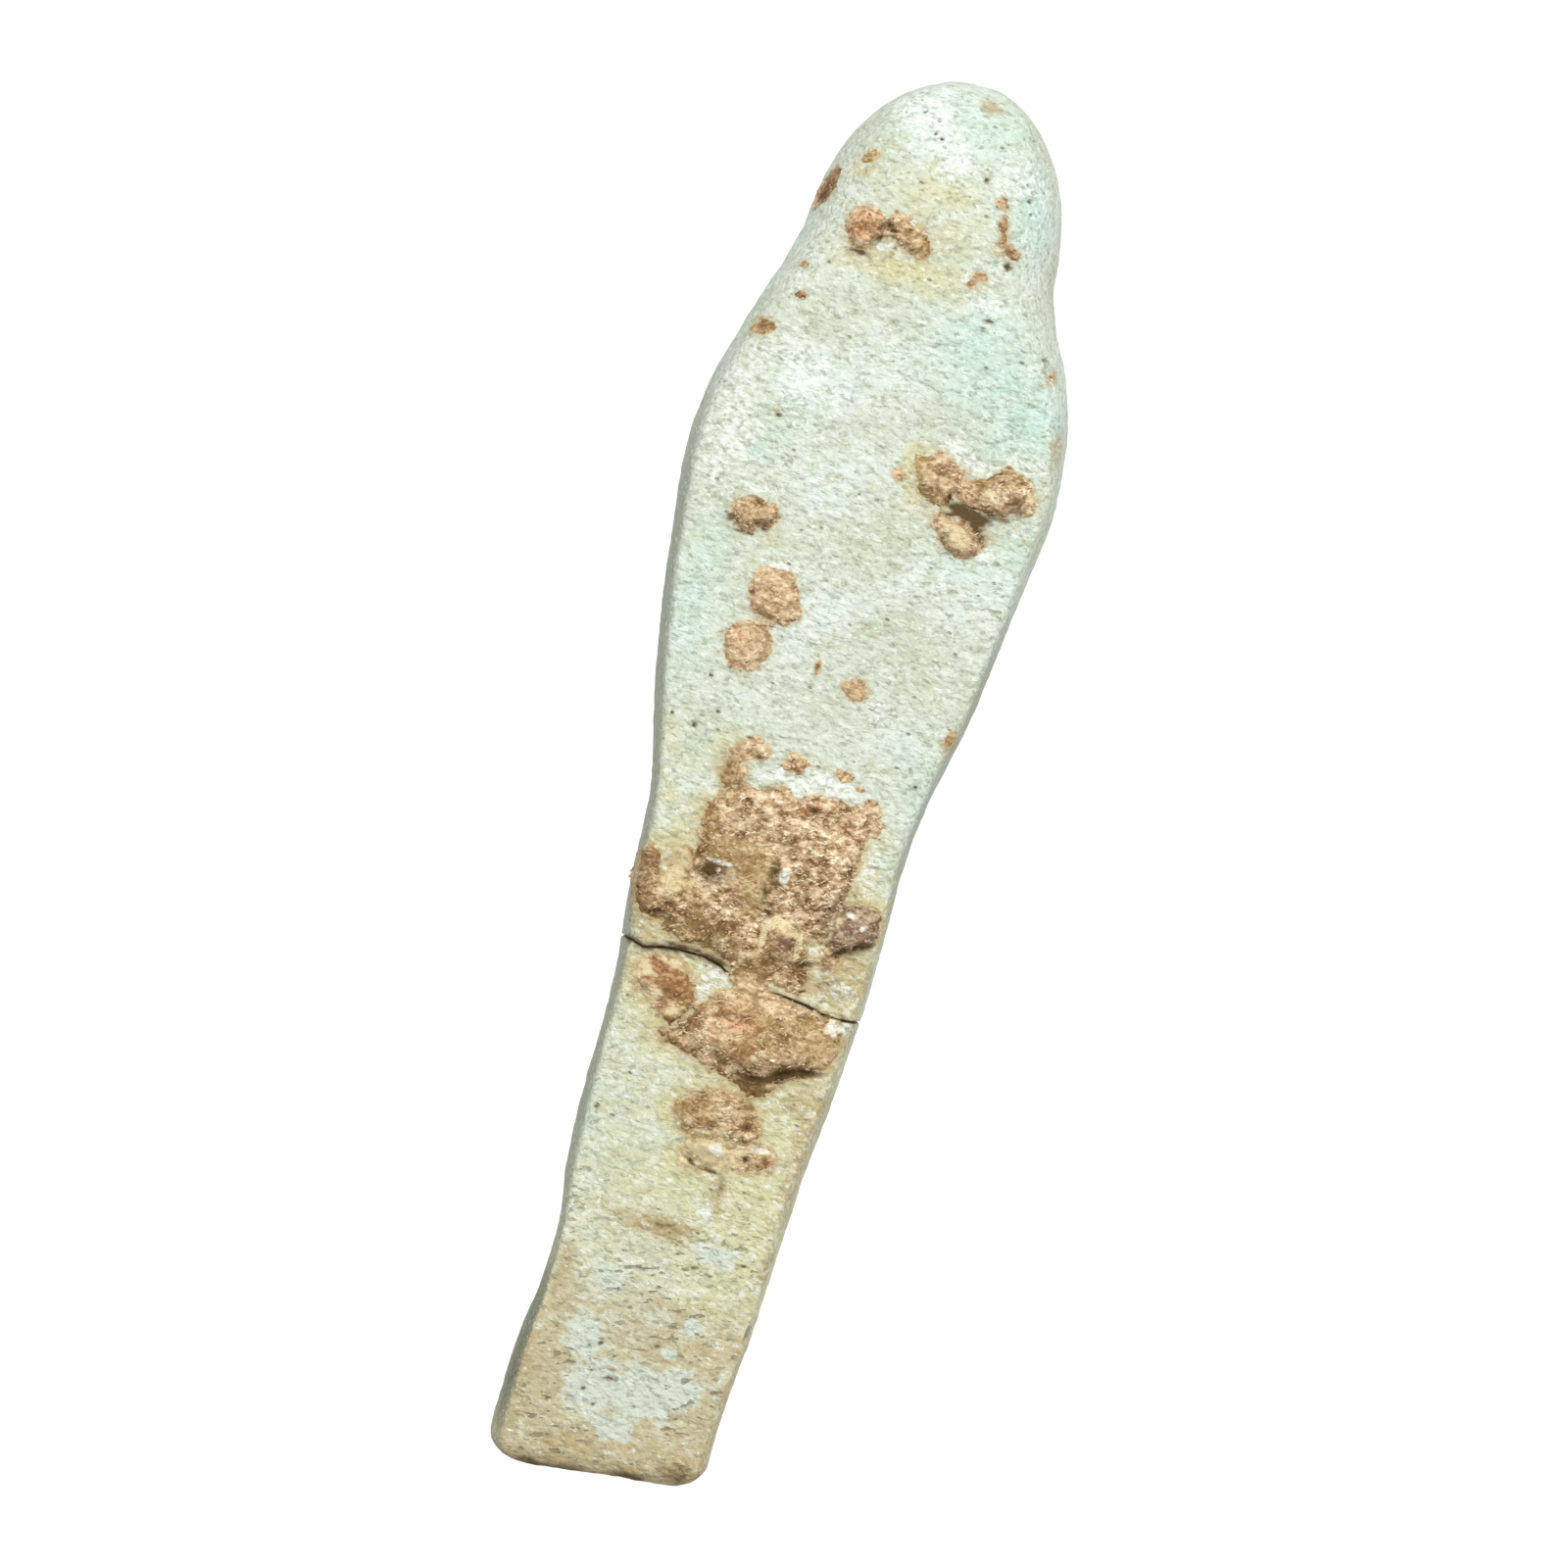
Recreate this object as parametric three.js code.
// A small mummiform burial figure, moulded in one piece of glazed paste with a flat back.
// It lies on its front with the back up: the head is towards +Y, the feet towards -Y, and +Z is up.
// The form is drawn in hundredths of the figure's length, counted from the foot base, and then
// brought to its real length, width and height.
import * as THREE from "three";

// Driving dimensions, in millimetres.
const figureLength = 95; // foot base to crown
const shoulderWidth = 24.6; // across the widest part of the shoulders
const bodyHeight = 18; // from the points of the front that it lies on to the flat back

// The outline and the profile, from foot to head. left and right are the distances from the middle
// line to the sides, deep is from the back to the middle of the front, side is from the back down
// to the widest part, and edge is the width of the rounding along the back. square is the front's
// section: 2 is an ellipse, and more is boxier.
const stations = [
  { at: 0, left: 8.0, right: 7.25, deep: 19.1, side: 8.5, edge: 2.6, square: 3.4 },
  { at: 4, left: 8.0, right: 7.3, deep: 19.1, side: 8.5, edge: 2.6, square: 3.2 },
  { at: 8, left: 7.8, right: 7.45, deep: 15.6, side: 7.0, edge: 2.2, square: 2.8 },
  { at: 11.5, left: 7.35, right: 7.7, deep: 13.0, side: 5.4, edge: 1.7, square: 2.5 },
  { at: 16, left: 7.3, right: 7.8, deep: 13.1, side: 4.8, edge: 1.5, square: 2.4 },
  { at: 20, left: 7.85, right: 7.95, deep: 13.6, side: 4.8, edge: 1.5, square: 2.4 },
  { at: 26, left: 8.15, right: 8.5, deep: 14.2, side: 4.8, edge: 1.5, square: 2.4 },
  { at: 33, left: 8.1, right: 9.0, deep: 14.9, side: 4.8, edge: 1.5, square: 2.4 },
  { at: 40, left: 8.9, right: 9.3, deep: 15.4, side: 4.8, edge: 1.5, square: 2.4 },
  { at: 46, left: 9.15, right: 9.15, deep: 15.7, side: 4.9, edge: 1.5, square: 2.4 },
  { at: 50, left: 10.0, right: 9.6, deep: 16.0, side: 5.0, edge: 1.5, square: 2.4 },
  { at: 56, left: 11.25, right: 10.8, deep: 16.7, side: 5.2, edge: 1.6, square: 2.4 },
  { at: 62, left: 12.2, right: 11.7, deep: 17.2, side: 5.4, edge: 1.7, square: 2.5 },
  { at: 68, left: 12.95, right: 12.45, deep: 17.4, side: 5.6, edge: 1.8, square: 2.5 },
  { at: 72, left: 13.05, right: 12.85, deep: 17.0, side: 5.8, edge: 2.0, square: 2.5 },
  { at: 75, left: 12.7, right: 12.6, deep: 16.4, side: 6.0, edge: 2.4, square: 2.4 },
  { at: 78.5, left: 11.75, right: 12.1, deep: 15.7, side: 6.4, edge: 3.0, square: 2.3 },
  { at: 82, left: 10.8, right: 11.0, deep: 15.4, side: 7.0, edge: 3.6, square: 2.2 },
  { at: 85, left: 9.9, right: 9.5, deep: 15.6, side: 7.6, edge: 4.0, square: 2.2 },
  { at: 88, left: 9.35, right: 8.65, deep: 15.9, side: 8.2, edge: 4.2, square: 2.2 },
  { at: 100, left: 9.35, right: 8.65, deep: 15.9, side: 8.6, edge: 4.2, square: 2.2 },
];

// The three sizes as drawn.
const drawnLength = stations.at(-1).at;
const drawnWidth = Math.max(...stations.map((station) => station.left + station.right));
const drawnHeight = 18.9;

const foot = { bevel: 1.7, leftBevel: 2.7, skew: 0.12, skewReach: 15 }; // the base and its slant
const crown = { from: 88, backSquare: 2.6, lean: 0.5, leanFrom: 82 }; // the dome of the head
const crack = { at: 35.4, slope: -0.085, half: 0.25, deep: 0.3, reach: 8 }; // the mended break

// The rings of the mesh: the spacing up to each height along the figure, and steps of the round ends.
const ringZones = [
  { to: 12, step: 1.5 },
  { to: 22, step: 2 },
  { to: crack.at - crack.half, step: 1.3 },
  { to: crack.at, step: crack.half },
  { to: crack.at + crack.half, step: crack.half },
  { to: 50, step: 1.4 },
  { to: 61, step: 2 },
  { to: 80, step: 0.9 },
  { to: crown.from + 6.5, step: 0.62 },
];
const baseSteps = 3;
const domeSteps = 6;
const frontSteps = 36;
const edgeSteps = 2;
const backSteps = 11;
const frontCrowding = 0.5; // how much closer the steps are in the middle of the front

// The carving of the front, worn soft. Pairs are given once, for the side at +X.
const face = { x: 0, y: 87.6, wide: 5.1, tall: 6.7 };
const wigRelief = 1.0;
const lappet = { x: 6.0, half: 2.7, low: 71.4, high: 88, relief: 0.85 };
const beard = { low: 73, high: 82, radius: 1.25, relief: 1.35 };
const elbow = { x: 9.8, y: 62.6 };
const fist = { x: 3.5, y: 69.6, radius: 2.0, relief: 1.75 };
const forearm = { radius: 2.0, relief: 0.95, overlap: 0.35 };
const sleeve = { x: 11.0, low: 63, high: 75.5, radius: 2.6, relief: 0.65 };
const hoe = { tipX: 6.9, tipY: 77.6, radius: 0.55, relief: 1.45, blade: 1.3 };

// Lumps of hardened earth on the back: place, half sizes and how proud they stand.
const earthLumps = [
  { x: 1.4, y: 44.0, wide: 6.0, tall: 5.6, proud: 0.75 },
  { x: 0.6, y: 38.4, wide: 4.6, tall: 2.6, proud: 0.8 },
  { x: -7.4, y: 40.2, wide: 1.9, tall: 3.4, proud: 0.5 },
  { x: 6.8, y: 40.8, wide: 2.3, tall: 1.8, proud: 0.95 },
  { x: 1.8, y: 31.9, wide: 5.4, tall: 2.7, proud: 1.2 },
  { x: -4.9, y: 33.9, wide: 2.2, tall: 1.7, proud: 0.5 },
  { x: 1.5, y: 25.3, wide: 3.0, tall: 2.9, proud: 0.75 },
  { x: -3.3, y: 50.1, wide: 1.7, tall: 2.1, proud: 0.4 },
  { x: -5.3, y: 57.6, wide: 1.8, tall: 1.8, proud: 0.35 },
  { x: -4.5, y: 61.4, wide: 1.9, tall: 2.1, proud: 0.4 },
  { x: -7.4, y: 66.6, wide: 1.7, tall: 1.5, proud: 0.6 },
  { x: 4.2, y: 72.3, wide: 2.2, tall: 1.9, proud: 0.45 },
  { x: 9.0, y: 72.0, wide: 2.2, tall: 1.9, proud: 0.6 },
  { x: 6.8, y: 68.9, wide: 2.0, tall: 1.7, proud: 0.55 },
  { x: -5.2, y: 87.5, wide: 1.7, tall: 1.7, proud: 0.55 },
  { x: -2.1, y: 87.7, wide: 1.8, tall: 1.6, proud: 0.4 },
];

const columns = ["left", "right", "deep", "side", "edge", "square"];

// 0 before from, 1 past to and a smooth rise between them. It falls where to is less than from.
function rise(from, to, value) {
  const t = THREE.MathUtils.clamp((value - from) / (to - from), 0, 1);
  return t * t * (3 - 2 * t);
}

// A round-topped mound of height 1 in an ellipse.
function mound(x, y, at) {
  const reach = Math.hypot((x - at.x) / at.wide, (y - at.y) / at.tall);
  return reach < 1 ? (1 - reach * reach) ** 2 : 0;
}

// A ridge of height 1 around the line from one point to another.
function ridge(x, y, from, to, radius) {
  const dx = to.x - from.x;
  const dy = to.y - from.y;
  const along = THREE.MathUtils.clamp(
    ((x - from.x) * dx + (y - from.y) * dy) / (dx * dx + dy * dy), 0, 1);
  const away = Math.hypot(x - from.x - along * dx, y - from.y - along * dy) / radius;
  return away < 1 ? (1 - away * away) ** 1.5 : 0;
}

// The station values at a height along the figure, on a smooth curve through all stations.
function stationAt(at) {
  const last = stations.length - 1;
  let i = 0;
  while (i < last - 1 && at > stations[i + 1].at) i++;
  const [a, b] = [stations[i], stations[i + 1]];
  const [before, after] = [stations[Math.max(i - 1, 0)], stations[Math.min(i + 2, last)]];
  const span = b.at - a.at;
  const t = (at - a.at) / span;
  const found = {};
  for (const name of columns) {
    const slopeA = ((b[name] - before[name]) / (b.at - before.at)) * span;
    const slopeB = ((after[name] - a[name]) / (after.at - a.at)) * span;
    found[name] =
      a[name] * (1 + 2 * t) * (1 - t) ** 2 + slopeA * t * (1 - t) ** 2 +
      b[name] * t * t * (3 - 2 * t) - slopeB * t * t * (1 - t);
  }
  return found;
}

// The worn face inside the wig's opening.
function faceRelief(x, y) {
  const across = Math.abs(x);
  const middle = Math.hypot(x / face.wide, (y - face.y) / face.tall);
  const dome = 0.95 * Math.max(0, 1 - middle * middle);
  const brow = 0.3 * ridge(across, y, { x: 0.9, y: 90.3 }, { x: 3.2, y: 89.9 }, 0.8);
  const socket = 0.5 * mound(across, y, { x: 2.1, y: 88.7, wide: 1.9, tall: 1.3 });
  const lids = 0.5 * mound(across, y, { x: 2.1, y: 88.5, wide: 1.5, tall: 0.75 });
  const bridge = 0.75 * ridge(x, y, { x: 0, y: 90.4 }, { x: 0, y: 87 }, 0.85);
  const nose = 1.25 * mound(x, y, { x: 0, y: 86.3, wide: 1.35, tall: 1.6 });
  const cheek = 0.3 * mound(across, y, { x: 2.7, y: 86, wide: 2.1, tall: 2.2 });
  const lips = 0.5 * ridge(across, y, { x: 0, y: 84 }, { x: 1.2, y: 84 }, 0.8);
  const mouth = 0.3 * ridge(across, y, { x: 0, y: 84 }, { x: 1.5, y: 84.1 }, 0.3);
  const chin = 0.5 * mound(x, y, { x: 0, y: 82.3, wide: 1.9, tall: 1.4 });
  return dome + brow - socket + lids + Math.max(bridge, nose) + cheek + lips - mouth + chin;
}

// The wig around the face, with its two lappets in front of the shoulders.
function wigReliefAt(x, y) {
  const across = Math.abs(x);
  const opening = (Math.hypot(x / face.wide, (y - face.y) / face.tall) - 1) * face.wide;
  const cap = rise(81.5, 85.5, y) * rise(-0.4, 0.7, opening);
  const strip =
    rise(0.7, -0.5, Math.abs(across - lappet.x) - lappet.half) *
    rise(lappet.low - 0.7, lappet.low + 0.7, y) * rise(lappet.high, lappet.high - 3, y);
  const ear = 0.75 * mound(across, y, { x: 5.3, y: 88, wide: 1.1, tall: 1.9 });
  const hollow = 0.4 * mound(across, y, { x: 5.3, y: 88.1, wide: 0.55, tall: 1.1 });
  return Math.max(cap * wigRelief, strip * lappet.relief) + ear - hollow;
}

// Wrapped arms crossed on the chest, with a hoe held in each fist.
function armRelief(x, y) {
  const arm = (side, lift) =>
    (forearm.relief + lift) *
    ridge(x * side, y, elbow, { x: -fist.x, y: fist.y }, forearm.radius);
  const across = Math.abs(x);
  const hand = fist.relief *
    mound(across, y, { x: fist.x, y: fist.y, wide: fist.radius, tall: fist.radius });
  const wrapped = sleeve.relief * ridge(
    across, y, { x: sleeve.x - 0.6, y: sleeve.low }, { x: sleeve.x, y: sleeve.high }, sleeve.radius);
  const tip = { x: hoe.tipX, y: hoe.tipY };
  const handle = hoe.relief *
    ridge(across, y, { x: fist.x, y: fist.y - 2.6 }, tip, hoe.radius);
  const blade = (hoe.relief - 0.2) *
    ridge(across, y, tip, { x: tip.x + 1.6, y: tip.y - 2.2 }, hoe.blade);
  return Math.max(arm(-1, 0), arm(1, forearm.overlap), hand, wrapped, handle, blade);
}

// How far the front's carving stands out at a point.
function frontRelief(x, y) {
  const opening = (Math.hypot(x / face.wide, (y - face.y) / face.tall) - 1) * face.wide;
  const inFace = rise(0.5, -0.5, opening);
  const chin = { x: 0, y: beard.high };
  const plait = beard.relief * ridge(x, y, { x: 0, y: beard.low }, chin, beard.radius);
  const headdress = wigReliefAt(x, y);
  return Math.max(inFace * faceRelief(x, y), headdress, plait, armRelief(x, y));
}

// How far the earth on the back stands out at a point.
function backRelief(x, y) {
  let proud = 0;
  for (const lump of earthLumps) {
    const reach = Math.hypot((x - lump.x) / lump.wide, (y - lump.y) / lump.tall);
    proud = Math.max(proud, lump.proud * rise(1, 0.45, reach));
  }
  return proud;
}

const crackLine = (x) => crack.at + crack.slope * x;

// One point of the figure, in hundredths of its length: at is the height of its ring, part is the
// stretch of the section that it belongs to, and t runs from 0 to 1 along that stretch.
function pointAt(at, part, t) {
  const s = stationAt(at);
  const baseAngle = Math.acos(THREE.MathUtils.clamp(1 - at / foot.bevel, 0, 1));
  const inset = 1 - Math.sin(baseAngle);
  const domeShare = THREE.MathUtils.clamp((at - crown.from) / (drawnLength - crown.from), 0, 1);
  const dome = Math.sqrt(1 - domeShare ** 2);
  const backDome = (1 - domeShare ** crown.backSquare) ** (1 / crown.backSquare);
  const left = (s.left - inset * foot.leftBevel) * dome;
  const right = (s.right - inset * foot.bevel) * dome;
  const lean = crown.lean * rise(crown.leanFrom, crown.from + 4, at);
  const widest = drawnHeight - s.side;
  const above = (s.side - inset * foot.bevel - lean) * backDome;
  const below = (s.deep - s.side - inset * foot.bevel) * dome;
  const edge = s.edge * dome;
  let x;
  let z;
  if (part === "front") {
    const across = Math.cos(Math.PI * t + 0.5 * frontCrowding * Math.sin(2 * Math.PI * t));
    const facing = (1 - Math.abs(across) ** s.square) ** (1 / s.square);
    x = across * (across > 0 ? right : left);
    z = widest - below * facing;
    z -= frontRelief(x, at) * rise(0.15, 0.75, facing) * rise(0, 0.35, dome);
    z = Math.max(z, 0);
  } else if (part === "back") {
    x = THREE.MathUtils.lerp(edge - left, right - edge, t);
    z = widest + above;
  } else {
    const turn = (Math.PI / 2) * (part === "leftEdge" ? t : 1 - t);
    const half = part === "leftEdge" ? left : right;
    x = (half - edge + edge * Math.cos(turn)) * (part === "leftEdge" ? -1 : 1);
    z = widest + above * Math.sin(turn);
  }
  if (part !== "front") z += backRelief(x, at) * rise(0.3, 0.9, (z - widest) / above);
  const nearCrack = 1 - Math.min(1, Math.abs(at - crack.at) / crack.reach);
  const y = at + (crackLine(x) - crack.at) * rise(0, 1, nearCrack);
  const groove = crack.deep * Math.max(0, 1 - Math.abs(at - crack.at) / crack.half);
  const middle = drawnHeight / 2;
  const shrink = 1 - groove / Math.max(Math.hypot(x, z - middle), 1);
  const slant = foot.skew * x * rise(foot.skewReach, 0, at);
  return new THREE.Vector3(x * shrink, y + slant, middle + (z - middle) * shrink);
}

// The heights of all rings, from the foot base to just below the crown.
function ringHeights() {
  const heights = [];
  for (let i = 0; i < baseSteps; i++)
    heights.push(foot.bevel * (1 - Math.cos((Math.PI / 2) * (i / baseSteps))));
  let from = foot.bevel;
  for (const zone of ringZones) {
    const steps = Math.max(1, Math.round((zone.to - from) / zone.step));
    for (let i = 0; i < steps; i++) heights.push(from + ((zone.to - from) * i) / steps);
    from = zone.to;
  }
  const start = Math.asin((from - crown.from) / (drawnLength - crown.from));
  for (let i = 0; i < domeSteps; i++) {
    const turn = THREE.MathUtils.lerp(start, Math.PI / 2, i / domeSteps);
    heights.push(crown.from + (drawnLength - crown.from) * Math.sin(turn));
  }
  return heights;
}

// The points around one section, from the right side past the front, the left edge and the back.
function sectionSteps() {
  const stretches = [
    ["front", frontSteps], ["leftEdge", edgeSteps], ["back", backSteps], ["rightEdge", edgeSteps],
  ];
  return stretches.flatMap(([part, count]) =>
    Array.from({ length: count }, (_, i) => [part, i / count]));
}

function figureGeometry() {
  const heights = ringHeights();
  const around = sectionSteps();
  const rings = heights.map((at) => around.map(([part, t]) => pointAt(at, part, t)));
  const centreOf = (ring) =>
    ring.reduce((sum, p) => sum.add(p), new THREE.Vector3()).divideScalar(ring.length);
  const points = [centreOf(rings[0]), ...rings.flat()];
  const crownPoint = centreOf(rings.at(-1));
  crownPoint.y = drawnLength;
  points.push(crownPoint);
  const index = [];
  const at = (ring, step) => 1 + ring * around.length + (step % around.length);
  for (let step = 0; step < around.length; step++) {
    index.push(0, at(0, step + 1), at(0, step));
    for (let ring = 0; ring < rings.length - 1; ring++) {
      const [a, b] = [at(ring, step), at(ring, step + 1)];
      const [c, d] = [at(ring + 1, step), at(ring + 1, step + 1)];
      index.push(a, b, c, b, d, c);
    }
    index.push(points.length - 1, at(rings.length - 1, step), at(rings.length - 1, step + 1));
  }
  const geometry = new THREE.BufferGeometry().setFromPoints(points);
  geometry.setIndex(index);
  geometry.scale(
    shoulderWidth / drawnWidth, figureLength / drawnLength, bodyHeight / drawnHeight);
  return geometry;
}

// The origin is on the surface that the figure lies on, under the middle of its outer box.
function centreOnFloor(geometry) {
  geometry.computeBoundingBox();
  const { min, max } = geometry.boundingBox;
  geometry.translate(-(min.x + max.x) / 2, -(min.y + max.y) / 2, -min.z);
  geometry.computeVertexNormals();
  return geometry;
}

const glaze = new THREE.MeshStandardMaterial({ color: 0xc9d6c0, roughness: 0.75, metalness: 0 });

const figure = new THREE.Mesh(centreOnFloor(figureGeometry()), glaze);
figure.name = "ushabti";

const ushabti = new THREE.Group();
ushabti.add(figure);

export default ushabti;
